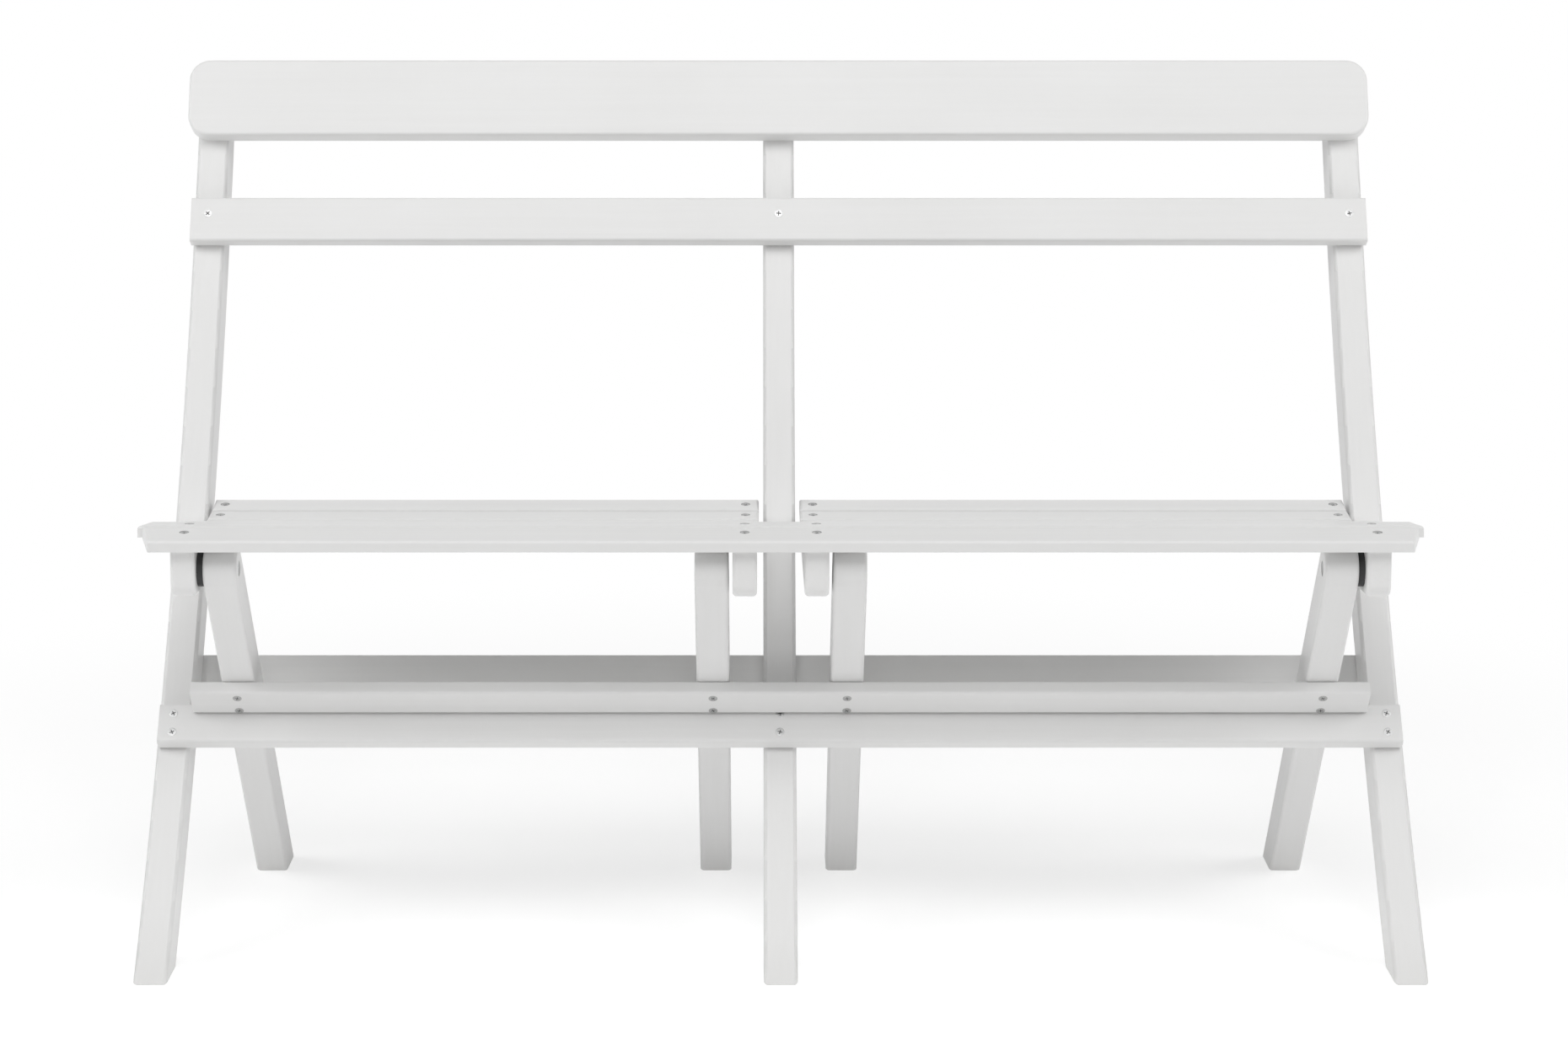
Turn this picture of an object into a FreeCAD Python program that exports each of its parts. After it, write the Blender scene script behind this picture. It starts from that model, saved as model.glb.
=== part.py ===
import FreeCAD, Part
import math
import os

# Folding two-seat garden bench of painted softwood, in millimetres.
# X runs along the bench, Y from front to back, Z up. The origin is under the middle of the bench.
# Side views are drawn with y counted from the front toe of the posts and moved to the origin at the end.

# Posts: three curved members, each sawn on one long arc from the front foot to the top rail
post_width = 32.0
post_depth = 42.0
post_radius = 2480.0
post_foot_lean = 45.8
post_top_height = 815.0
post_edge = 3.5
foot_edge = 1.5
post_span = 1214.0

# Back: a wide top rail, a narrow slat below it and a low front rail on the posts' front faces,
# and a rear rail on their back faces. The legs pass between the front and the rear rail.
top_rail_overhang = 9.0
top_rail_height = 83.0
top_rail_thickness = 20.0
top_rail_corner = 22.0
top_rail_drop = 27.0
back_slat_overhang = 1.5
back_slat_height = 48.0
back_slat_thickness = 17.0
back_slat_drop = 149.0
front_rail_height = 41.3
front_rail_thickness = 15.5
front_rail_gap = 0.55
rear_rail_height = 38.0
rear_rail_thickness = 15.5
rear_rail_gap = 7.3
rail_inset = 2.0
rail_edge = 3.0

# Seat: slats screwed to four dished bearers; the dish is two tangent arcs, a front crest and a hollow
seat_height = 421.5
crest_to_pivot_depth = 245.4
crest_radius = 205.0
dish_depth = 30.0
crest_to_dish = 185.0
slat_count = 9
slat_pitch = 35.3
slat_width = 30.0
slat_thickness = 11.0
slat_edge = 3.0
second_slat_setback = 7.3
nose_overhang = 12.0
nose_inset = 5.0
full_slat_taper = 8.0
full_slat_count = 2
bearer_width = 23.0
bearer_front_depth = 45.0
bearer_front_height = 46.0
bearer_front_round = 12.0
bearer_rear_overhang = 3.0
bearer_rear_round = 15.0
bearer_edge = 4.0

# Legs: four straight members from the front of the seat to the rear feet, hung on the bearers
leg_width = 32.0
leg_depth = 42.0
leg_lean = 43.0
leg_edge = 3.5
leg_pivot_to_crest_depth = 17.0
leg_pivot_below_crest = 38.5
seat_pivot_below_crest = 55.5
bearer_below_pivot = 19.0
post_to_bearer = 4.0
bearer_to_leg = 6.0
mid_post_to_bearer = 6.3
mid_bearer_to_leg = 3.7
slat_to_mid_post = 4.6

# The stretcher that joins the legs
stretcher_inset = 35.6
stretcher_height = 35.0
stretcher_thickness = 14.5
stretcher_gap = 0.2

# Bolts, nuts, washers and screws
bolt_radius = 4.0
bolt_running_gap = 0.06
bolt_head_radius = 9.0
bolt_head_height = 4.5
bolt_tail = 3.0
leg_bolt_head_radius = 7.0
leg_bolt_head_depth = 4.0
leg_bolt_head_sunk = 0.6
leg_bolt_end_wall = 4.0
leg_spacer_radius = 17.0
nut_across_flats = 13.0
nut_thickness = 6.5
washer_radius = 11.0
washer_thickness = 1.6
side_play = 0.35
screw_head_radius = 4.3
screw_head_height = 2.6
screw_shank_radius = 2.1
screw_length = 38.0
screw_proud = 0.4
slat_screw_sunk = 0.9
slat_screw_length = 30.0
slat_hole_radius = 4.7
slat_hole_depth = 1.2
rail_screw_spacing = 20.0
rear_rail_screw_spacing = 16.0
stretcher_screw_spacing = 21.0
stretcher_screw_drop = 1.8
back_slat_screw_rise = 6.0
touch = 0.001

os.makedirs("parts", exist_ok=True)
ALONG = FreeCAD.Vector(1, 0, 0)


def yz(y, z):
    """A vector in the side view."""
    return FreeCAD.Vector(0, y, z)


def turned(angle):
    """The unit vector of the side view at an angle from the back, counted towards the top."""
    return yz(math.cos(angle), math.sin(angle))


# The posts' arc: its centre lies in front of and above the bench
foot_lean = math.radians(post_foot_lean)
arc_centre = yz(-post_radius * math.cos(foot_lean), post_radius * math.sin(foot_lean))


def post_lean(height, depth):
    """How far the post leans back where the arc at a depth behind its front face reaches a height."""
    return math.asin((arc_centre.z - height) / (post_radius + depth))


def on_post(lean, depth):
    """The point of the post at a lean, at a depth behind its front face."""
    return arc_centre + turned(-lean) * (post_radius + depth)


top_lean = post_lean(post_top_height, 0)
overall_depth = on_post(top_lean, post_depth).y
TO_ORIGIN = FreeCAD.Vector(0, -overall_depth / 2, 0)

# Where the pieces stand along the bench, for the right-hand half
post_outer = post_span / 2
top_rail_end = post_outer + top_rail_overhang
back_slat_end = post_outer + back_slat_overhang
rail_end = post_outer - rail_inset
stretcher_end = post_outer - stretcher_inset
post_inner = post_outer - post_width
bearer_outer = post_inner - post_to_bearer
bearer_inner = bearer_outer - bearer_width
leg_outer = bearer_inner - bearer_to_leg
mid_bearer_inner = post_width / 2 + mid_post_to_bearer
mid_bearer_outer = mid_bearer_inner + bearer_width
mid_leg_inner = mid_bearer_outer + mid_bearer_to_leg
mid_slat_end = post_width / 2 + slat_to_mid_post
post_starts = {"left": -post_outer, "centre": -post_width / 2, "right": post_inner}
bearer_starts = {"outer_left": -bearer_outer, "inner_left": -mid_bearer_outer,
                 "inner_right": mid_bearer_inner, "outer_right": bearer_inner}
leg_starts = {"outer_left": -leg_outer, "inner_left": -mid_leg_inner - leg_width,
              "inner_right": mid_leg_inner, "outer_right": leg_outer - leg_width}
post_middles = [start + post_width / 2 for start in post_starts.values()]
bearer_middles = [start + bearer_width / 2 for start in bearer_starts.values()]
leg_middles = [start + leg_width / 2 for start in leg_starts.values()]

# Pivots: the seat turns on the posts, the legs turn on the seat's bearers. The seat's front crest is placed
# from its pivot.
seat_pivot = on_post(post_lean(seat_height - seat_pivot_below_crest, post_depth / 2), post_depth / 2)
crest = yz(seat_pivot.y - crest_to_pivot_depth, seat_height)
leg_pivot = crest - yz(leg_pivot_to_crest_depth, leg_pivot_below_crest)
leg_down = turned(-math.radians(90 - leg_lean))
leg_front = yz(leg_down.z, -leg_down.y)


def on_leg(distance, depth):
    """The point of the leg at a distance below its pivot, at a depth in front of its centre line."""
    return leg_pivot + leg_down * distance + leg_front * depth


def save(name, *solids):
    """Moves the solids from the toe to the origin and writes them as one node."""
    shape = solids[0] if len(solids) == 1 else Part.makeCompound(list(solids))
    shape.translate(TO_ORIGIN)
    shape.exportStep("parts/" + name + ".step")


def outline(points):
    """A closed polygon of the side view."""
    return Part.makePolygon(points + points[:1])


def beam(wire, start, width):
    """A side-view outline, drawn out along the bench."""
    face = Part.Face(wire)
    face.translate(ALONG * start)
    return face.extrude(ALONG * width)


def long_edges(solid):
    """The edges of a cross piece that run along the bench."""
    return [e for e in solid.Edges if abs(e.tangentAt(e.FirstParameter).x) > 0.999]


def cross_piece(wire, start, length):
    """A board along the bench with eased long edges, from its side-view outline."""
    solid = beam(wire, start, length)
    return solid.makeFillet(rail_edge, long_edges(solid))


def peg(point, start, length, radius):
    """A round pin along the bench, centred on a side-view point."""
    return Part.makeCylinder(radius, length, point + ALONG * start, ALONG)


def wood_screw(point, inward, x, proud=screw_proud, length=screw_length):
    """A countersunk screw, its head a little proud of the face it is driven into, or sunk under it."""
    head = point + ALONG * x - inward * proud
    cone = Part.makeCone(screw_head_radius, screw_shank_radius, screw_head_height, head, inward)
    shank = Part.makeCylinder(screw_shank_radius, length - screw_head_height,
                              head + inward * screw_head_height, inward)
    return cone.fuse(shank)


class RailSeat:
    """Where a rail lies on the posts' hollow front faces. Its back is flat, so it bears on its two edges."""

    def __init__(self, lean, height, thickness):
        hollow = post_radius - math.sqrt(post_radius ** 2 - (height / 2) ** 2)
        self.middle = on_post(lean, -hollow)
        self.up = turned(math.pi / 2 - lean)
        self.out = turned(math.pi - lean)
        self.low = self.middle - self.up * (height / 2)
        self.face = self.middle + self.out * thickness
        self.section = outline([self.low, self.low + self.out * thickness,
                                self.low + self.out * thickness + self.up * height,
                                self.low + self.up * height])


# The back slat and the top rail are set down from the posts' tops
back_slat_lean = post_lean(post_top_height - back_slat_drop, 0)
back_slat_seat = RailSeat(back_slat_lean, back_slat_height, back_slat_thickness)
top_rail_lean = post_lean(post_top_height - top_rail_drop, 0)
top_rail_seat = RailSeat(top_rail_lean, top_rail_height, top_rail_thickness)


def post_crossing(leg_side, post_side):
    """The lean of the post where a face of the legs crosses a face of the posts in the side view."""
    near = on_leg(0, leg_side)
    radius = post_radius + post_side
    to_centre = near - arc_centre
    half_chord = to_centre.dot(leg_down)
    reach = math.sqrt(half_chord ** 2 - to_centre.dot(to_centre) + radius ** 2) - half_chord
    return post_lean((near + leg_down * reach).z, post_side)


# The front rail lies just below the place where the legs' front faces cross the posts' front faces,
# the rear rail a little above the place where their back faces cross
front_rail_lean = post_crossing(leg_depth / 2, 0) + (front_rail_gap + front_rail_height / 2) / post_radius
front_rail_seat = RailSeat(front_rail_lean, front_rail_height, front_rail_thickness)
rear_rail_lean = post_crossing(-leg_depth / 2, post_depth)
rear_rail_lean -= (rear_rail_gap + rear_rail_height / 2) / (post_radius + post_depth)
rear_rail_middle = on_post(rear_rail_lean, post_depth)
rear_rail_up = turned(math.pi / 2 - rear_rail_lean)
rear_rail_back = turned(-rear_rail_lean)


def rounded_section(corner, side, rise, width, height, radius):
    """A rectangle with rounded corners: its corner, the directions of its two sides and their lengths."""
    points = [corner, corner + side * width, corner + side * width + rise * height, corner + rise * height]
    ways = [side, rise, side * -1, rise * -1]
    inset = radius * (1 - math.sqrt(0.5))
    edges = []
    for k in range(4):
        came, goes = ways[k - 1] * -1, ways[k]
        first, last = points[k] + came * radius, points[k] + goes * radius
        edges.append(Part.Arc(first, points[k] + (came + goes) * inset, last).toShape())
        edges.append(Part.makeLine(last, points[(k + 1) % 4] - goes * radius))
    return Part.Face(Part.Wire(edges))


def eased_foot(solid):
    """The rim of the level foot, broken with a small chamfer."""
    foot = [f for f in solid.Faces if f.BoundBox.ZMax < foot_edge / 100][0]
    return solid.makeChamfer(foot_edge, foot.Edges)


def make_post(start):
    """A curved post: a rounded rectangle turned about the arc's centre and sawn level at the foot."""
    corner = on_post(top_lean, 0) + ALONG * start
    section = rounded_section(corner, ALONG, turned(-top_lean), post_width, post_depth, post_edge)
    toe_spare = 2 * post_depth
    turn = foot_lean - top_lean + toe_spare / post_radius
    solid = section.revolve(arc_centre, ALONG * -1, math.degrees(turn))
    ground = Part.makeBox(2 * post_width, 4 * toe_spare, 2 * toe_spare,
                          yz(-2 * toe_spare, -2 * toe_spare) + ALONG * (start - post_width / 2))
    return eased_foot(solid.cut(ground)).cut(peg(seat_pivot, start, post_width, bolt_radius))


def make_top_rail():
    """The wide top rail, its four corners well rounded and its front rim eased."""
    solid = beam(top_rail_seat.section, -top_rail_end, 2 * top_rail_end)
    corners = [e for e in solid.Edges if abs(e.Length - top_rail_thickness) < touch]
    solid = solid.makeFillet(top_rail_corner, corners)
    face, out = top_rail_seat.face, top_rail_seat.out
    rim = [e for e in solid.Edges if abs((e.CenterOfMass - face).dot(out)) < touch]
    return solid.makeFillet(rail_edge, rim)


def seat_curve(distance):
    """The seat's top line at a distance behind its crest: the point and its slope."""
    radii = (crest_to_dish ** 2 + dish_depth ** 2) / (2 * dish_depth)
    turn = math.asin(crest_to_dish / radii)
    hollow_radius = radii - crest_radius
    if distance < crest_radius * turn:
        slope = -distance / crest_radius
        return crest - yz(crest_radius * math.sin(slope), crest_radius * (1 - math.cos(slope))), slope
    slope = (distance - crest_radius * turn) / hollow_radius - turn
    low = crest + yz(crest_to_dish, -dish_depth)
    return low + yz(hollow_radius * math.sin(slope), hollow_radius * (1 - math.cos(slope))), slope


slat_seats = []
for number in range(slat_count):
    middle, slope = seat_curve(second_slat_setback + (number - 1) * slat_pitch)
    back = turned(slope)
    up = turned(slope + math.pi / 2)
    slat_seats.append((middle - up * slat_thickness, back, up))


def make_slat(number, start, length):
    """One seat slat on its flat of the bearers, its top edges eased and a shallow hole over every screw.
    The front slat overhangs the bearers."""
    base, back, up = slat_seats[number]
    front = slat_width / 2 + (nose_overhang if number == 0 else 0)
    rear_low = base + back * (slat_width / 2)
    front_low = base - back * front
    rise = up * slat_thickness
    solid = beam(outline([rear_low, front_low, front_low + rise, rear_low + rise]), start, length)
    if number < full_slat_count:
        solid = solid.common(seat_corner_plan(length / 2))
    rim = [e for e in solid.Edges if abs((e.CenterOfMass - base).dot(up) - slat_thickness) < touch]
    solid = solid.makeFillet(slat_edge, rim)
    for x in bearer_middles:
        if start < x < start + length:
            floor = base + up * (slat_thickness - slat_hole_depth) + ALONG * x
            solid = solid.cut(Part.makeCylinder(slat_hole_radius, slat_hole_depth, floor, up))
    return solid


def seat_corner_plan(half_length):
    """The plan of the two full-width slats as a prism, narrowing from their shared edge to front and rear."""
    shared = (slat_seats[0][0].y + slat_seats[1][0].y) / 2
    reach = 2 * slat_width
    taper = full_slat_taper * reach / slat_width
    short = half_length - taper
    sides = [(half_length, shared), (short, shared + reach), (-short, shared + reach),
             (-half_length, shared), (-short, shared - reach), (short, shared - reach)]
    points = [FreeCAD.Vector(x, y, 0) for x, y in sides]
    return Part.Face(Part.makePolygon(points + points[:1])).extrude(yz(0, 2 * seat_height))


def meet(first, second):
    """The side-view point where the flats of two neighbouring slats meet."""
    base, back, up = first
    other, other_back, other_up = second
    reach = (other - base).dot(other_up) / back.dot(other_up)
    return base + back * reach


def make_bearer(start, leg_way):
    """A dished bearer with a flat for each slat. leg_way points to the leg it carries, 0 for none."""
    base, back, up = slat_seats[0]
    front = crest.y - bearer_front_depth
    front_top = base + back * ((front - base.y) / back.y)
    last, last_back, last_up = slat_seats[-1]
    rear_top = last + last_back * (slat_width / 2 + bearer_rear_overhang)
    flats = [meet(slat_seats[i], slat_seats[i + 1]) for i in range(slat_count - 1)]
    rear_low = yz(rear_top.y, seat_pivot.z - bearer_below_pivot)
    front_low = yz(front, front_top.z - bearer_front_height)
    solid = beam(outline([front_top] + flats + [rear_top, rear_low, front_low]), start, bearer_width)

    def corner(point):
        middle = point + ALONG * (start + bearer_width / 2)
        return [e for e in long_edges(solid) if (e.CenterOfMass - middle).Length < touch]

    rounds = ((rear_low, bearer_rear_round), (front_low, bearer_front_round))
    for point, radius in rounds:
        solid = solid.makeFillet(radius, corner(point))
    low_rim = [e for e in solid.Edges if e.Length > crest_to_dish]
    solid = solid.makeFillet(bearer_edge, low_rim)
    solid = solid.cut(peg(seat_pivot, start, bearer_width, bolt_radius + bolt_running_gap))
    if leg_way == 0:
        return solid
    bore = start if leg_way < 0 else start + leg_bolt_end_wall
    return solid.cut(peg(leg_pivot, bore, bearer_width - leg_bolt_end_wall, bolt_radius))


def make_leg(start, bearer_way):
    """A straight leg, round at the top and sawn level at the foot. It is bored for a sunk bolt where
    bearer_way points to the bearer that carries it, and plain where that is 0."""
    half = leg_depth / 2
    foot = [on_leg((leg_pivot.z + leg_front.z * side) / -leg_down.z, side) for side in (half, -half)]
    cap = Part.Arc(on_leg(0, -half), on_leg(-half, 0), on_leg(0, half)).toShape()
    edges = [cap, Part.makeLine(on_leg(0, half), foot[0]), Part.makeLine(foot[0], foot[1]),
             Part.makeLine(foot[1], on_leg(0, -half))]
    solid = beam(Part.Wire(edges), start, leg_width)
    sides = [e for e in solid.Edges if e.Length > 2 * leg_depth]
    solid = eased_foot(solid.makeFillet(leg_edge, sides))
    if bearer_way == 0:
        return solid
    solid = solid.cut(peg(leg_pivot, start, leg_width, bolt_radius + bolt_running_gap))
    sunk = leg_bolt_head_depth + leg_bolt_head_sunk + side_play
    bore = start + leg_width - sunk if bearer_way < 0 else start
    return solid.cut(peg(leg_pivot, bore, sunk, leg_bolt_head_radius + side_play))


def carriage_bolt(point, start, length, way):
    """A bolt along the bench, turned from its half section, with a domed head. way is 1 towards the right."""
    axis = ALONG * way
    face = point + ALONG * start
    rim = face + yz(0, bolt_head_radius)
    crown = face - axis * bolt_head_height
    shoulder = face - axis * (bolt_head_height * 0.72) + yz(0, bolt_head_radius * 0.55)
    neck = face + yz(0, bolt_radius)
    end = neck + axis * length
    tip = face + axis * length
    edges = [Part.Arc(crown, shoulder, rim).toShape(), Part.makeLine(rim, neck), Part.makeLine(neck, end),
             Part.makeLine(end, tip), Part.makeLine(tip, crown)]
    return Part.Face(Part.Wire(edges)).revolve(face, ALONG, 360)


def ring(point, start, thickness, radius):
    """A washer or spacer that sits on a bolt."""
    return peg(point, start, thickness, radius).cut(peg(point, start, thickness, bolt_radius))


def nut(point, start):
    """A hexagon nut on a bolt along the bench."""
    corner = nut_across_flats / math.sqrt(3)
    points = [point + turned(math.pi / 3 * k) * corner for k in range(6)]
    return beam(outline(points), start, nut_thickness).cut(peg(point, start, nut_thickness, bolt_radius))


# Posts
for side, start in post_starts.items():
    save("post_" + side, make_post(start))

# Top rail, fixed from behind through the posts
save("top_rail", make_top_rail())
screws = []
for share in (-0.2, 0.2):
    rise = top_rail_seat.up * (top_rail_height * share)
    behind = top_rail_seat.middle + rise - top_rail_seat.out * post_depth
    lean = post_lean(behind.z, post_depth)
    screws += [wood_screw(on_post(lean, post_depth), turned(math.pi - lean), x) for x in post_middles]
save("top_rail_screws", *screws)

# Back slat and front rail, screwed to the posts from the front, and the rear rail from behind
save("back_slat", cross_piece(back_slat_seat.section, -back_slat_end, 2 * back_slat_end))
slat_screw = back_slat_seat.face + back_slat_seat.up * back_slat_screw_rise
save("back_slat_screws", *[wood_screw(slat_screw, back_slat_seat.out * -1, x) for x in post_middles])
save("front_rail", cross_piece(front_rail_seat.section, -rail_end, 2 * rail_end))
rail_screws = [front_rail_seat.face + front_rail_seat.up * (rail_screw_spacing * share)
               for share in (-0.5, 0.5)]
save("front_rail_screws", *[wood_screw(point, front_rail_seat.out * -1, x)
                            for x in post_middles for point in rail_screws])
rear_low = rear_rail_middle - rear_rail_up * (rear_rail_height / 2)
rear_section = outline([rear_low, rear_low + rear_rail_back * rear_rail_thickness,
                        rear_low + rear_rail_back * rear_rail_thickness + rear_rail_up * rear_rail_height,
                        rear_low + rear_rail_up * rear_rail_height])
save("rear_rail", cross_piece(rear_section, -rail_end, 2 * rail_end))
rear_face = rear_rail_middle + rear_rail_back * rear_rail_thickness
rear_screws = [rear_face + rear_rail_up * (rear_rail_screw_spacing * share) for share in (-0.5, 0.5)]
save("rear_rail_screws", *[wood_screw(point, rear_rail_back * -1, x)
                           for x in post_middles for point in rear_screws])

# Seat bearers and slats
for place, start in bearer_starts.items():
    save("bearer_" + place, make_bearer(start, {"outer_left": 1, "outer_right": -1}.get(place, 0)))
short_length = bearer_outer - mid_slat_end
for number in range(slat_count):
    name = "seat_slat_%d" % (number + 1)
    if number < full_slat_count:
        half = post_outer - (nose_inset if number == 0 else 0)
        save(name, make_slat(number, -half, 2 * half))
    else:
        save(name + "_left", make_slat(number, -bearer_outer, short_length))
        save(name + "_right", make_slat(number, mid_slat_end, short_length))
save("seat_slat_screws", *[wood_screw(base + up * slat_thickness, up * -1, x, -slat_screw_sunk,
                                      slat_screw_length)
                           for base, back, up in slat_seats for x in bearer_middles])

# Legs and the stretcher on their front faces. The outer legs hang on the seat.
# The stretcher holds the inner ones.
for place, start in leg_starts.items():
    save("leg_" + place, make_leg(start, {"outer_left": -1, "outer_right": 1}.get(place, 0)))

rail_lip = front_rail_seat.face + front_rail_seat.up * (front_rail_height / 2)
stretcher_foot = (rail_lip - leg_pivot).dot(leg_down) - stretcher_gap
near, far = leg_depth / 2, leg_depth / 2 + stretcher_thickness
stretcher_top = stretcher_foot - stretcher_height
stretcher_section = outline([on_leg(stretcher_foot, near), on_leg(stretcher_foot, far),
                             on_leg(stretcher_top, far), on_leg(stretcher_top, near)])
save("front_stretcher", cross_piece(stretcher_section, -stretcher_end, 2 * stretcher_end))
stretcher_middle = stretcher_foot - stretcher_height / 2 + stretcher_screw_drop
stretcher_screws = [on_leg(stretcher_middle + stretcher_screw_spacing * share, far) for share in (-0.5, 0.5)]
save("stretcher_screws", *[wood_screw(point, leg_front * -1, x)
                           for x in leg_middles for point in stretcher_screws])

# Seat pivots: one bolt at each outer post, and one through both inner bearers and the centre post
bolt_end = side_play + washer_thickness + nut_thickness + bolt_tail
side_bolt = post_width + post_to_bearer + bearer_width + bolt_end
mid_bolt_start = -mid_bearer_outer - side_play
mid_bolt = 2 * mid_bearer_outer + side_play + bolt_end
save("seat_pivot_bolts", carriage_bolt(seat_pivot, -post_outer, side_bolt, 1),
     carriage_bolt(seat_pivot, mid_bolt_start, mid_bolt, 1),
     carriage_bolt(seat_pivot, post_outer, side_bolt, -1))
gaps = ((-post_inner, post_to_bearer), (-mid_bearer_inner, mid_post_to_bearer),
        (post_width / 2, mid_post_to_bearer), (bearer_outer, post_to_bearer))
save("seat_pivot_spacers", *[ring(seat_pivot, start + side_play, gap - 2 * side_play, washer_radius)
                             for start, gap in gaps])
inner_face = bearer_inner - side_play
save("seat_pivot_washers", ring(seat_pivot, -inner_face, washer_thickness, washer_radius),
     ring(seat_pivot, mid_bearer_outer + side_play, washer_thickness, washer_radius),
     ring(seat_pivot, inner_face - washer_thickness, washer_thickness, washer_radius))
save("seat_pivot_nuts", nut(seat_pivot, washer_thickness - inner_face),
     nut(seat_pivot, mid_bearer_outer + side_play + washer_thickness),
     nut(seat_pivot, inner_face - washer_thickness - nut_thickness))

# Leg pivots: a bolt is fixed in each outer bearer and carries its leg, the head sunk into the leg's far side
leg_bolt = bearer_width - leg_bolt_end_wall + bearer_to_leg + leg_width - leg_bolt_head_sunk
spacer_thickness = bearer_to_leg - side_play
bolts = []
spacers = []
for bearer_face, way in ((-bearer_outer, 1), (bearer_outer, -1)):
    end_at = bearer_face + way * leg_bolt_end_wall
    head_at = end_at + way * (leg_bolt - leg_bolt_head_depth)
    shank = peg(leg_pivot, min(end_at, head_at), abs(head_at - end_at), bolt_radius)
    head_start = min(head_at, head_at + way * leg_bolt_head_depth)
    head = peg(leg_pivot, head_start, leg_bolt_head_depth, leg_bolt_head_radius)
    bolts.append(shank.fuse(head))
    spacer_at = bearer_face + way * bearer_width
    spacer_start = min(spacer_at, spacer_at + way * spacer_thickness)
    spacers.append(ring(leg_pivot, spacer_start, spacer_thickness, leg_spacer_radius))
save("leg_pivot_bolts", *bolts)
save("leg_pivot_spacers", *spacers)
print("overall depth %.1f, seat pivot y %.3f z %.3f, leg pivot y %.3f z %.3f, rear toe y %.2f" % (
    overall_depth, seat_pivot.y + TO_ORIGIN.y, seat_pivot.z, leg_pivot.y + TO_ORIGIN.y, leg_pivot.z,
    on_leg(leg_pivot.z / -leg_down.z, 0).y + TO_ORIGIN.y))
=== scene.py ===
import math

import bpy
import numpy as np
from mathutils import Euler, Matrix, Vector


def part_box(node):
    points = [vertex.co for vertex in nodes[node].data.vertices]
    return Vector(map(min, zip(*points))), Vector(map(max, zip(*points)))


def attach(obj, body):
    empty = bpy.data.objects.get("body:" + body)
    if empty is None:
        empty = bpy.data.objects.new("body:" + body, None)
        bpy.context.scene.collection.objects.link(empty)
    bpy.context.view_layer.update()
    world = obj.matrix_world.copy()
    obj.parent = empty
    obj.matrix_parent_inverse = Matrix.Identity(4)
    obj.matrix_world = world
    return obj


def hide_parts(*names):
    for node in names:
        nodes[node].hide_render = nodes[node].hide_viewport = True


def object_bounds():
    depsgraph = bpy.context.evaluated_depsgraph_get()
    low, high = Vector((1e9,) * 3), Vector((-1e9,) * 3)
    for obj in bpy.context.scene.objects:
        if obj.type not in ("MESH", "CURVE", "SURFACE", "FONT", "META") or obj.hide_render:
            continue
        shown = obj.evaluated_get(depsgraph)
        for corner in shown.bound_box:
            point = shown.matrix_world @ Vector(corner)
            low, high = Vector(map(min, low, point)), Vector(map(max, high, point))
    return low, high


# A folding garden bench of painted softwood: a back frame on three curved posts, a slatted seat that swings
# on it and a leg frame that hangs from the seat. Everything here is in metres, in the bench's own frame.
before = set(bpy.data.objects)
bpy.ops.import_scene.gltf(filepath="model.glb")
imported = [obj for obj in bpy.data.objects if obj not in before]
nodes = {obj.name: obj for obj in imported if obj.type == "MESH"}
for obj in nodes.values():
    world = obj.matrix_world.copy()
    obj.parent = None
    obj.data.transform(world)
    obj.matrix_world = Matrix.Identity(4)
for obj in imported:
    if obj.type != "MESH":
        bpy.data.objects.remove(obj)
solid_box = [[float(v) for v in corner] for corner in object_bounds()]


# Paint on the boards that run along the bench: several brushed coats of white satin oil paint on planed
# softwood. The straight grain stands a hair through the film, and the brush leaves finer lines beside it.
class Tone:
    """A value in a material. Sums and products of tones add the Math nodes that work them out."""

    def __init__(self, tree, socket):
        self.tree = tree
        self.socket = socket

    def joined(self, operation, first, second):
        return Tone.node(self.tree, "ShaderNodeMath", {"operation": operation}, {0: first, 1: second})

    def __add__(self, other):
        return self.joined("ADD", self, other)

    def __radd__(self, other):
        return self.joined("ADD", other, self)

    def __sub__(self, other):
        return self.joined("SUBTRACT", self, other)

    def __rsub__(self, other):
        return self.joined("SUBTRACT", other, self)

    def __mul__(self, other):
        return self.joined("MULTIPLY", self, other)

    def __rmul__(self, other):
        return self.joined("MULTIPLY", other, self)

    @staticmethod
    def node(tree, kind, settings, inputs, output=0):
        """Adds one node: its settings first, then the values or links of its sockets. Gives one output."""
        made = tree.nodes.new(kind)
        for name, value in settings.items():
            setattr(made, name, value)
        for name, value in inputs.items():
            if isinstance(value, Tone):
                tree.links.new(value.socket, made.inputs[name])
            else:
                made.inputs[name].default_value = value
        return Tone(tree, made.outputs[output])


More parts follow.
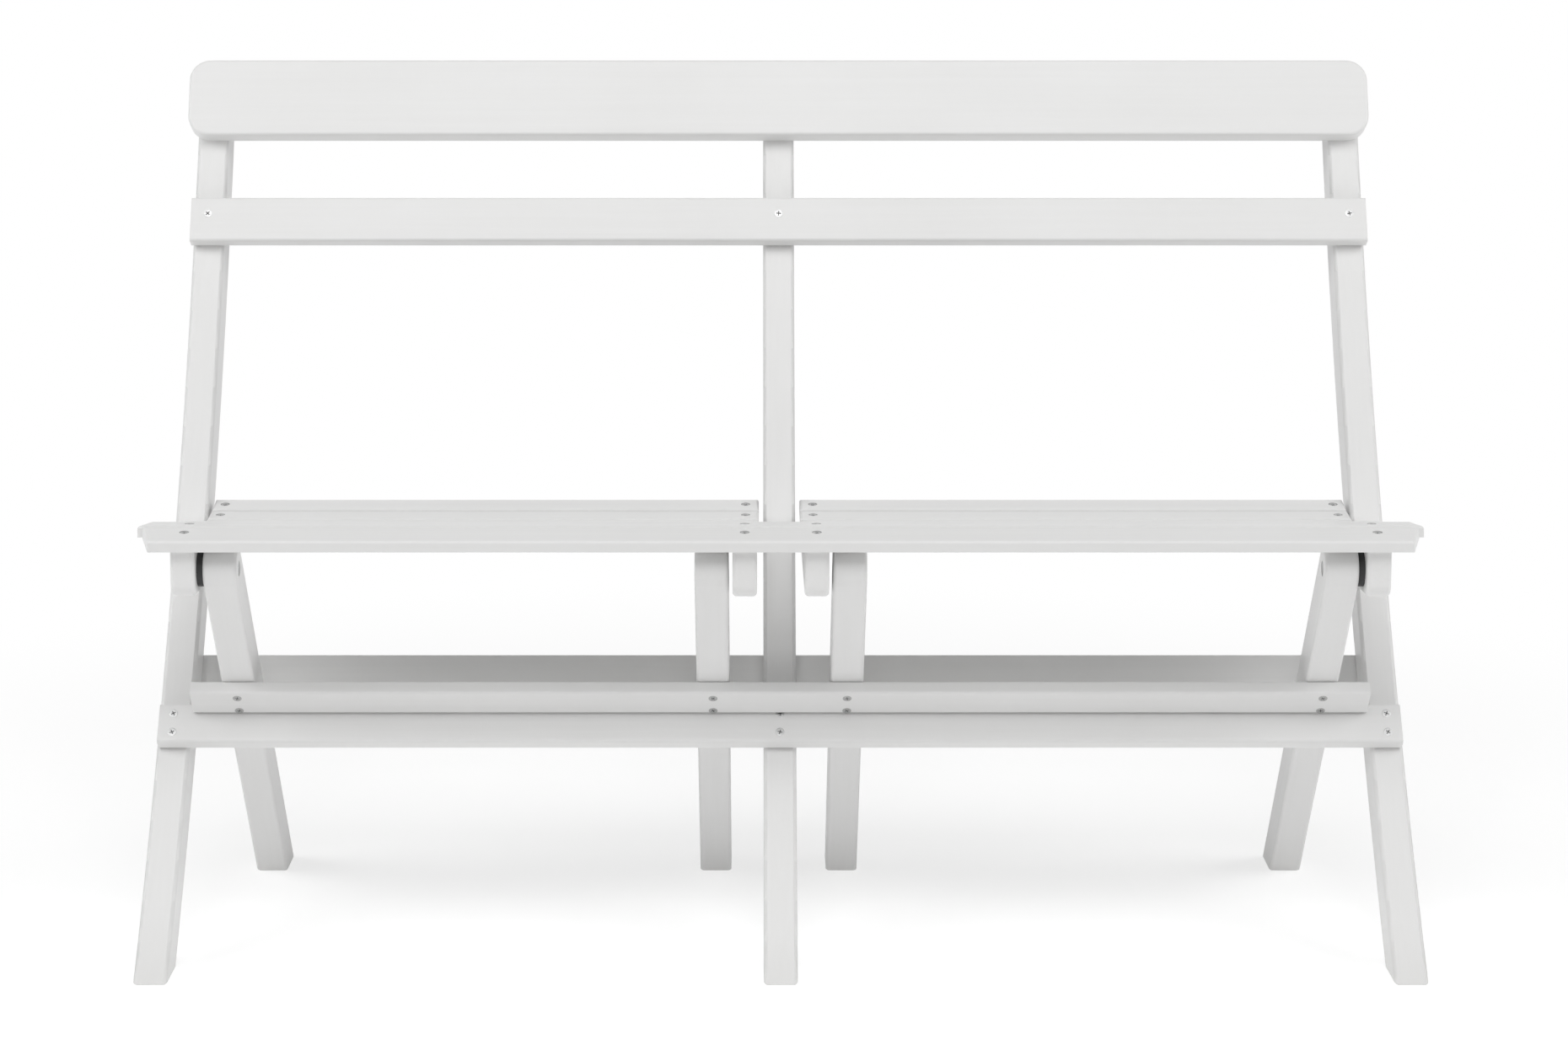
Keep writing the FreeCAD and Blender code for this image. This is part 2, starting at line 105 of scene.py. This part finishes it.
def white_paint(name, turn):
    """Satin white paint. turn is the angle about the bench's long axis that brings the grain level;
    None means that the grain runs along the bench."""
    fresh_white = (0.83, 0.83, 0.828, 1.0)
    worn_white = (0.755, 0.752, 0.742, 1.0)
    darkest_below, plain_above = 0.02, 0.075
    satin = 0.29
    relief_depth = 0.0006
    oil_paint_ior = 1.46
    paint = bpy.data.materials.new(name)
    paint.use_nodes = True
    tree = paint.node_tree
    coat = tree.nodes["Principled BSDF"]
    place = Tone.node(tree, "ShaderNodeTexCoord", {}, {}, "Object")
    level = Tone.node(tree, "ShaderNodeMapping", {}, {"Vector": place, "Rotation": (turn or 0.0, 0.0, 0.0)})

    def streaks(along, across, detail):
        stretch = (along, across, across) if turn is None else (across, along, across)
        drawn = Tone.node(tree, "ShaderNodeVectorMath", {"operation": "MULTIPLY"}, {0: level, 1: stretch})
        return Tone.node(tree, "ShaderNodeTexNoise", {}, {"Vector": drawn, "Scale": 1.0, "Detail": detail,
                                                          "Roughness": 0.55})

    grain = streaks(along=4.0, across=210.0, detail=3.0)
    brush = streaks(along=9.0, across=1500.0, detail=2.0)
    cloud = Tone.node(tree, "ShaderNodeTexNoise", {}, {"Vector": place, "Scale": 5.0, "Detail": 4.0})
    peel = Tone.node(tree, "ShaderNodeTexNoise", {}, {"Vector": place, "Scale": 900.0, "Detail": 1.0})
    height = Tone.node(tree, "ShaderNodeSeparateXYZ", {}, {0: place}, "Z")
    # The paint turns darker, warmer and rougher in its lowest few centimetres, towards the floor.
    near_floor = Tone.node(tree, "ShaderNodeMapRange", {"clamp": True},
                      {"Value": height + cloud * 0.05, "From Min": darkest_below, "From Max": plain_above,
                       "To Min": 1.0, "To Max": 0.0})
    aged = cloud * 0.5 + grain * 0.35 + near_floor * 0.5
    colour = Tone.node(tree, "ShaderNodeMix", {"data_type": "RGBA"},
                       {"Factor": aged, 6: fresh_white, 7: worn_white}, 2)
    tree.links.new(colour.socket, coat.inputs["Base Color"])
    gloss = satin + grain * 0.1 + cloud * 0.08 + near_floor * 0.15
    tree.links.new(gloss.socket, coat.inputs["Roughness"])
    relief = grain * 0.7 + brush * 0.22 + peel * 0.12
    bump = Tone.node(tree, "ShaderNodeBump", {},
                     {"Height": relief, "Strength": 0.3, "Distance": relief_depth})
    tree.links.new(bump.socket, coat.inputs["Normal"])
    coat.inputs["IOR"].default_value = oil_paint_ior
    return paint


along_paint = white_paint("white_paint_along", None)
for name in ("top_rail", "back_slat", "front_rail", "rear_rail", "front_stretcher"):
    nodes[name].material_slots[0].material = along_paint
for name in nodes:
    if name.startswith("seat_slat_") and not name.endswith("screws"):
        nodes[name].material_slots[0].material = along_paint


# Posts: sawn on a long arc from straight boards, so that their grain runs straight while their edges curve.
# The turn is the lean of the line from the foot to the top, read from the post's own box.
low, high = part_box("post_centre")
post_paint = white_paint("white_paint_posts", -math.atan2(high[2] - low[2], high[1] - low[1]))
for name in ("post_left", "post_centre", "post_right"):
    nodes[name].material_slots[0].material = post_paint


# Legs: straight lengths of the same timber with the grain along them, leaning the other way.
low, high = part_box("leg_inner_right")
leg_paint = white_paint("white_paint_legs", math.atan2(high[2] - low[2], high[1] - low[1]))
for name in ("leg_outer_left", "leg_inner_left", "leg_inner_right", "leg_outer_right"):
    nodes[name].material_slots[0].material = leg_paint


# Bearers: dished boards from front to back under the slats, with their grain level.
bearer_paint = white_paint("white_paint_bearers", 0.0)
for name in nodes:
    if name.startswith("bearer_"):
        nodes[name].material_slots[0].material = bearer_paint


# Bolts, nuts, washers and the seat pivots' spacers: steel with a dull electroplated skin of zinc, grey and
# faintly spangled. The cross in each screw head is painted near-black and matt: painted shade that stands
# in for the shade of a deep recess.
zinc = bpy.data.materials.new("dull_zinc")
zinc.use_nodes = True
tree = zinc.node_tree
plating = tree.nodes["Principled BSDF"]
bright = (0.6, 0.6, 0.591, 1.0)
dull = (0.4, 0.4, 0.408, 1.0)
recess_shade_black = (0.012, 0.012, 0.012, 1.0)
recess_shade_cover = 0.9
plated_roughness = 0.3
place = Tone.node(tree, "ShaderNodeTexCoord", {}, {}, "Object")
spangle = Tone.node(tree, "ShaderNodeTexVoronoi", {}, {"Vector": place, "Scale": 900.0}, "Color")
bloom = Tone.node(tree, "ShaderNodeTexNoise", {}, {"Vector": place, "Scale": 260.0, "Detail": 3.0})
grey = Tone.node(tree, "ShaderNodeRGBToBW", {}, {0: spangle})
tint = Tone.node(tree, "ShaderNodeMix", {"data_type": "RGBA"},
                 {"Factor": grey * 0.5 + bloom * 0.5, 6: bright, 7: dull}, 2)
# Painted shade: across each screw head's cross the plating turns near-black, matt and not metallic.
recess_shaded = Tone.node(tree, "ShaderNodeAttribute", {"attribute_name": "recess"}, {}, "Fac") * recess_shade_cover
tint_and_recess_shade = Tone.node(tree, "ShaderNodeMix", {"data_type": "RGBA"},
                   {"Factor": recess_shaded, 6: tint, 7: recess_shade_black}, 2)
tree.links.new(tint_and_recess_shade.socket, plating.inputs["Base Color"])
tree.links.new((plated_roughness + bloom * 0.22 + recess_shaded * 0.4).socket, plating.inputs["Roughness"])
tree.links.new((1.0 - recess_shaded).socket, plating.inputs["Metallic"])
for name in nodes:
    if name.endswith(("bolts", "nuts", "washers", "seat_pivot_spacers")):
        nodes[name].material_slots[0].material = zinc


# Leg pivot spacers: a thick disc of black nylon between each outer bearer and its leg, matt and a little
# dusty.
nylon = bpy.data.materials.new("black_nylon")
nylon.use_nodes = True
tree = nylon.node_tree
plastic = tree.nodes["Principled BSDF"]
clean_black = (0.022, 0.022, 0.024, 1.0)
dusty_black = (0.05, 0.05, 0.05, 1.0)
matt_roughness = 0.5
place = Tone.node(tree, "ShaderNodeTexCoord", {}, {}, "Object")
dust = Tone.node(tree, "ShaderNodeTexNoise", {}, {"Vector": place, "Scale": 220.0, "Detail": 4.0})
black = Tone.node(tree, "ShaderNodeMix", {"data_type": "RGBA"},
                  {"Factor": dust, 6: clean_black, 7: dusty_black}, 2)
tree.links.new(black.socket, plastic.inputs["Base Color"])
tree.links.new((matt_roughness + dust * 0.25).socket, plastic.inputs["Roughness"])
nodes["leg_pivot_spacers"].material_slots[0].material = nylon


# Wood screws: countersunk cross-head screws that hold every board, with a head of one turned profile and a
# cross sunk into it. Those of the seat lie in shallow holes.
def screws_of(node):
    """The head centres, outward directions and length of a node's screws. Corners that meet are merged,
    triangles that share a corner get one label, and each labelled screw's longest direction is its axis."""
    mesh = nodes[node].data
    points = np.empty(len(mesh.vertices) * 3)
    mesh.vertices.foreach_get("co", points)
    points = points.reshape(-1, 3)
    corners = np.empty(len(mesh.loops), int)
    mesh.loops.foreach_get("vertex_index", corners)
    merged = np.unique(np.round(points, 6), axis=0, return_inverse=True)[1].reshape(-1)
    faces = merged[corners].reshape(-1, 3)
    labels = np.arange(merged.max() + 1)
    while True:
        lowest = labels[faces].min(axis=1)
        spread = labels.copy()
        for corner in range(3):
            np.minimum.at(spread, faces[:, corner], lowest)
        if np.array_equal(spread, labels):
            break
        labels = spread
    heads = []
    axes = []
    for label in np.unique(labels):
        screw = np.unique(points[labels[merged] == label], axis=0)
        axis = np.linalg.svd(screw - screw.mean(axis=0))[2][0]
        along = (screw - screw.mean(axis=0)) @ axis
        radius = np.linalg.norm(screw - screw.mean(axis=0) - np.outer(along, axis), axis=1)
        axis = axis * (1.0 if along[radius.argmax()] > 0 else -1.0)
        top = screw[(screw @ axis) > (screw @ axis).max() - 1e-5]
        heads.append((top.min(axis=0) + top.max(axis=0)) / 2)
        axes.append(axis)
    return np.array(heads), np.array(axes), float(np.ptp(along))


def cross_head_screws(name, node, body, collar, seed):
    """One mesh of all screws of a node. A screw is a grid of turn by profile: the profile runs from the
    middle of the head over its rim, down the cone and the shank, and the cross is pressed in as a depth
    that falls off smoothly across its two bars and towards their ends. The collar is the height of the
    rim that a sunk head carries round its edge, up the wall of its hole."""
    heads, axes, solid_length = screws_of(node)
    turns = 40
    head_radius = 0.0043
    rim_depth = 0.0005
    cone_depth = 0.0026
    crown_drop = 0.00012
    shank_radius = 0.0021
    shank_share = 0.8
    point_radius = 0.0002
    point_spare = 0.0004
    collar_inside, collar_outside = 0.00435, 0.0046
    recess_depth = 0.00022
    recess_half_width, recess_shoulder = 0.00048, 1.35
    recess_reach, recess_end = 0.0027, 0.0007
    length = solid_length - point_spare
    angle = np.linspace(0, 2 * np.pi, turns, endpoint=False)
    face_shares = (0.06, 0.13, 0.2, 0.27, 0.34, 0.42, 0.5, 0.58, 0.68, 0.82, 0.93, 1.0)
    face_radius = head_radius * np.array(face_shares)
    side_radius = [head_radius, shank_radius, shank_radius, point_radius]
    side_height = [-rim_depth, -cone_depth, -length * shank_share, -length]
    if collar:
        side_radius = [collar_inside, collar_inside, collar_outside, collar_outside] + side_radius[1:]
        side_height = [0.0, collar, collar] + side_height
    x = np.outer(face_radius, np.cos(angle))
    y = np.outer(face_radius, np.sin(angle))

    def bar(across, along):
        width = np.clip(recess_shoulder - np.abs(across) / recess_half_width, 0, 1)
        reach = np.clip((recess_reach - np.abs(along)) / recess_end, 0, 1)
        return width * reach

    cross = np.maximum(bar(x, y), bar(y, x))
    crown = -crown_drop * (face_radius / head_radius) ** 6
    face_height = crown[:, None] - cross * recess_depth
    profile_x = np.vstack([x, np.outer(side_radius, np.cos(angle))])
    profile_y = np.vstack([y, np.outer(side_radius, np.sin(angle))])
    profile_z = np.vstack([face_height, np.repeat(np.array(side_height)[:, None], turns, axis=1)])
    rows = len(profile_z)
    grid = np.stack([profile_x, profile_y, profile_z], axis=-1).reshape(-1, 3)
    grid = np.vstack([grid, [[0, 0, -recess_depth]], [[0, 0, -length]]])
    row, turn = np.meshgrid(np.arange(rows - 1), np.arange(turns), indexing="ij")
    after = (turn + 1) % turns
    quads = np.stack([row * turns + turn, (row + 1) * turns + turn, (row + 1) * turns + after,
                      row * turns + after], axis=-1).reshape(-1, 4)
    # The mask of the painted shade in the heads' crosses: 1 in the cross, 0 on the rest of the screw.
    recess_shade = np.concatenate([cross.reshape(-1), np.zeros(len(side_height) * turns), [1.0, 0.0]])
    ring = np.arange(turns)
    nxt = (ring + 1) % turns
    last = (rows - 1) * turns
    top_fan = np.stack([np.full(turns, rows * turns), ring, nxt], axis=-1)
    tip_fan = np.stack([np.full(turns, rows * turns + 1), last + nxt, last + ring], axis=-1)
    spin = np.random.default_rng(seed).uniform(0, np.pi / 2, len(heads))
    points = []
    faces = []
    for number, (head, axis) in enumerate(zip(heads, axes)):
        along_bench = np.array([1.0, 0.0, 0.0])
        across = along_bench * math.cos(spin[number]) + np.cross(axis, along_bench) * math.sin(spin[number])
        points.append(head + grid @ np.stack([across, np.cross(axis, across), axis]))
        faces += (quads + number * len(grid)).tolist()
        faces += (np.vstack([top_fan, tip_fan]) + number * len(grid)).tolist()
    mesh = bpy.data.meshes.new(name)
    mesh.from_pydata(np.vstack(points).tolist(), [], faces)
    mesh.attributes.new("recess", "FLOAT", "POINT").data.foreach_set("value", np.tile(recess_shade, len(heads)))
    mesh.materials.append(zinc)
    piece = bpy.data.objects.new(name, mesh)
    bpy.context.scene.collection.objects.link(piece)
    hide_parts(node)
    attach(piece, body)


seat_collar = 0.0007
screw_sets = (("top_rail_screws", "back_frame", 0), ("back_slat_screws", "back_frame", 0),
              ("front_rail_screws", "back_frame", 0), ("seat_slat_screws", "seat", seat_collar),
              ("rear_rail_screws", "back_frame", 0), ("stretcher_screws", "leg_frame", 0))
for number, (node, body, collar) in enumerate(screw_sets):
    cross_head_screws("cross_head_" + node, node, body, collar, number)


# Studio: a seamless pale floor that keeps the bench's soft shadow, a surround that shows white and lights
# the bench from overhead, and three large soft lamps.
def shown_rays(tree):
    """1 for a ray that shows a surface, straight, mirrored or through glass. 0 for one that only lights."""
    straight = Tone.node(tree, "ShaderNodeLightPath", {}, {}, "Is Camera Ray")
    mirrored = Tone.node(tree, "ShaderNodeLightPath", {}, {}, "Is Glossy Ray")
    through = Tone.node(tree, "ShaderNodeLightPath", {}, {}, "Is Transmission Ray")
    return Tone.node(tree, "ShaderNodeMath", {"operation": "ADD", "use_clamp": True},
                     {0: straight + mirrored, 1: through})


floor_half = 30
shadow_end, white_start = 0.8, 1.7
pure_white = (1, 1, 1, 1)
floor_mesh = bpy.data.meshes.new("studio_floor")
floor_mesh.from_pydata([(-floor_half, -floor_half, 0), (floor_half, -floor_half, 0),
                        (floor_half, floor_half, 0), (-floor_half, floor_half, 0)], [], [(0, 1, 2, 3)])
floor = bpy.data.objects.new("studio_floor", floor_mesh)
bpy.context.scene.collection.objects.link(floor)
pale = bpy.data.materials.new("pale_floor")
pale.use_nodes = True
tree = pale.node_tree
tree.nodes.remove(tree.nodes["Principled BSDF"])
glow = Tone.node(tree, "ShaderNodeEmission", {}, {"Color": pure_white, "Strength": 0.58})
matt = Tone.node(tree, "ShaderNodeBsdfDiffuse", {}, {"Color": (0.6, 0.6, 0.6, 1)})
near = Tone.node(tree, "ShaderNodeAddShader", {}, {0: glow, 1: matt})
white = Tone.node(tree, "ShaderNodeEmission", {}, {"Color": pure_white, "Strength": 1.0})
spot = Tone.node(tree, "ShaderNodeTexCoord", {}, {}, "Object")
away = Tone.node(tree, "ShaderNodeVectorMath", {"operation": "LENGTH"}, {0: spot}, "Value")
fade = Tone.node(tree, "ShaderNodeMapRange", {"clamp": True, "interpolation_type": "SMOOTHSTEP"},
                 {"Value": away, "From Min": shadow_end, "From Max": white_start, "To Min": 0.0,
                  "To Max": 1.0})
lit = Tone.node(tree, "ShaderNodeMixShader", {}, {0: fade, 1: near, 2: white})
spread = Tone.node(tree, "ShaderNodeEmission", {}, {"Color": pure_white, "Strength": 0.24})
paper = Tone.node(tree, "ShaderNodeBsdfDiffuse", {}, {"Color": (0.9, 0.9, 0.9, 1)})
bounce = Tone.node(tree, "ShaderNodeAddShader", {}, {0: spread, 1: paper})
floor_look = Tone.node(tree, "ShaderNodeMixShader", {}, {0: shown_rays(tree), 1: bounce, 2: lit})
tree.links.new(floor_look.socket, tree.nodes["Material Output"].inputs["Surface"])
floor_mesh.materials.append(pale)

overhead_light = 0.43
world = bpy.data.worlds.new("white_surround")
bpy.context.scene.world = world
world.use_nodes = True
tree = world.node_tree
shown = shown_rays(tree)
way = Tone.node(tree, "ShaderNodeTexCoord", {}, {}, "Generated")
height = Tone.node(tree, "ShaderNodeSeparateXYZ", {}, {0: way}, "Z")
ambient = Tone.node(tree, "ShaderNodeMapRange", {"clamp": True},
                    {"Value": height, "From Min": 0.0, "From Max": 1.0, "To Min": 0.0,
                     "To Max": overhead_light})
strength = ambient * (1.0 - shown) + shown
tree.links.new(strength.socket, tree.nodes["Background"].inputs["Strength"])
tree.nodes["Background"].inputs["Color"].default_value = pure_white


def soft_lamp(name, place, aim, size, watts):
    """A square area lamp of one size, turned from its place towards a point."""
    lamp = bpy.data.lights.new(name, "AREA")
    lamp.shape = "SQUARE"
    lamp.size = size
    lamp.energy = watts
    holder = bpy.data.objects.new(name, lamp)
    bpy.context.scene.collection.objects.link(holder)
    way = np.array(aim, float) - np.array(place, float)
    holder.location = place
    holder.rotation_euler = Euler((math.atan2(math.hypot(way[0], way[1]), -way[2]), 0,
                                   math.atan2(-way[0], way[1])))


bench_middle = (0, 0, 0.5)
soft_lamp("front_top", (-0.1, -2.85, 3.85), bench_middle, size=2.4, watts=49)
soft_lamp("left_side", (-3.4, -1.5, 2.6), bench_middle, size=2.6, watts=61)
soft_lamp("right_side", (3.4, -1.5, 2.6), bench_middle, size=2.6, watts=60)


# Camera: eye height just over a metre, a long lens and a lowered film, as in a catalogue picture. The focal
# length and the shifts are in pixels of the photograph's width.
photo_width = 1860
focal_length = 4562
shift_right, shift_up = 31.6, -220
film_width = 36.0
eye_right, eye_distance, eye_height = -0.022, 3.49, 1.071
tilt_down = 7.49
camera_data = bpy.data.cameras.new("catalogue_camera")
camera = bpy.data.objects.new("catalogue_camera", camera_data)
bpy.context.scene.collection.objects.link(camera)
camera_data.sensor_width = film_width
camera_data.lens = focal_length / photo_width * film_width
camera_data.shift_x = shift_right / photo_width
camera_data.shift_y = shift_up / photo_width
camera.location = (eye_right, solid_box[0][1] - eye_distance, eye_height)
camera.rotation_euler = Euler((math.radians(90 - tilt_down), 0, 0))
bpy.context.scene.camera = camera
bpy.context.scene.view_settings.view_transform = "Standard"
